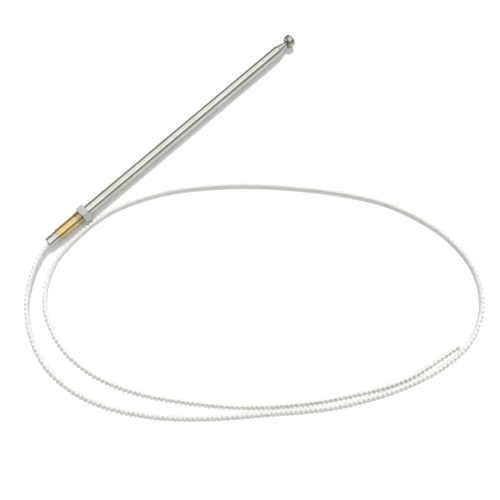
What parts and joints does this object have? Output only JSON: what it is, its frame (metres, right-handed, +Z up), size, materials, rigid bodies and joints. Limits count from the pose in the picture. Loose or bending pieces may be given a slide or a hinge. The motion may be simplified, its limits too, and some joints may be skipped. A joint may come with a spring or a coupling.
{
  "type": "telescopic antenna mast with drive cord",
  "caption": "Collapsed telescopic aerial mast with a tip button, loose retaining nut, brass contact sleeve and toothed drive cord for a motor unit.",
  "frame": {"origin": "on the table under the middle of the mast, at the bottom centre of the mast without its cord", "axes": "+X along the mast towards the button, +Z up from the table, cord lying on the -Y side"},
  "size_m": [0.2726, 0.2385, 0.011],
  "materials": {
    "plated_tube": "bright nickel plate over drawn brass or steel tube",
    "stainless_steel": "turned and polished",
    "chrome_nut": "chrome plated, bare brass spigot",
    "brass": "rolled brass strip, bright",
    "shell_brass": "pressed spring brass",
    "nylon_cord": "natural white toothed nylon",
    "wiper_rubber": "soft rubber"
  },
  "bodies": {
    "mast_foot": {"outer_tube": "plated_tube", "base_ferrule": "stainless_steel", "contact_sleeve": "brass", "drive_cord": "nylon_cord"},
    "large_section": {"section_tube_large": "plated_tube", "shell_large_upper": "shell_brass", "shell_large_lower": "shell_brass"},
    "middle_section": {"section_tube_middle": "plated_tube", "shell_middle_upper": "shell_brass", "shell_middle_lower": "shell_brass"},
    "small_section": {"section_tube_small": "plated_tube", "shell_small_upper": "shell_brass", "shell_small_lower": "shell_brass"},
    "tip_section": {"tip_rod": "stainless_steel", "tip_button": "stainless_steel", "cord_anchor": "shell_brass", "shell_rod_upper": "shell_brass", "shell_rod_lower": "shell_brass"},
    "nut_wiper": {"nut_wiper_ring": "wiper_rubber"},
    "nut": {"retaining_nut": "chrome_nut"}
  },
  "joints": [
    {"name": "large_slide", "type": "slide", "parent": "mast_foot", "child": "large_section", "axis": [1, 0, 0], "range_m": [0, 0.1795]},
    {"name": "middle_slide", "type": "slide", "parent": "large_section", "child": "middle_section", "axis": [1, 0, 0], "range_m": [0, 0.1795]},
    {"name": "small_slide", "type": "slide", "parent": "middle_section", "child": "small_section", "axis": [1, 0, 0], "range_m": [0, 0.1795]},
    {"name": "rod_slide", "type": "slide", "parent": "small_section", "child": "tip_section", "axis": [1, 0, 0], "range_m": [0, 0.1795]},
    {"name": "nut_slide", "type": "slide", "parent": "mast_foot", "child": "nut_wiper", "axis": [1, 0, 0], "range_m": [0, 0.172]},
    {"name": "nut_spin", "type": "hinge", "parent": "nut_wiper", "child": "nut", "pos_m": [-0.0801, 0, 0.0055], "axis": [1, 0, 0], "continuous": true}
  ]
}
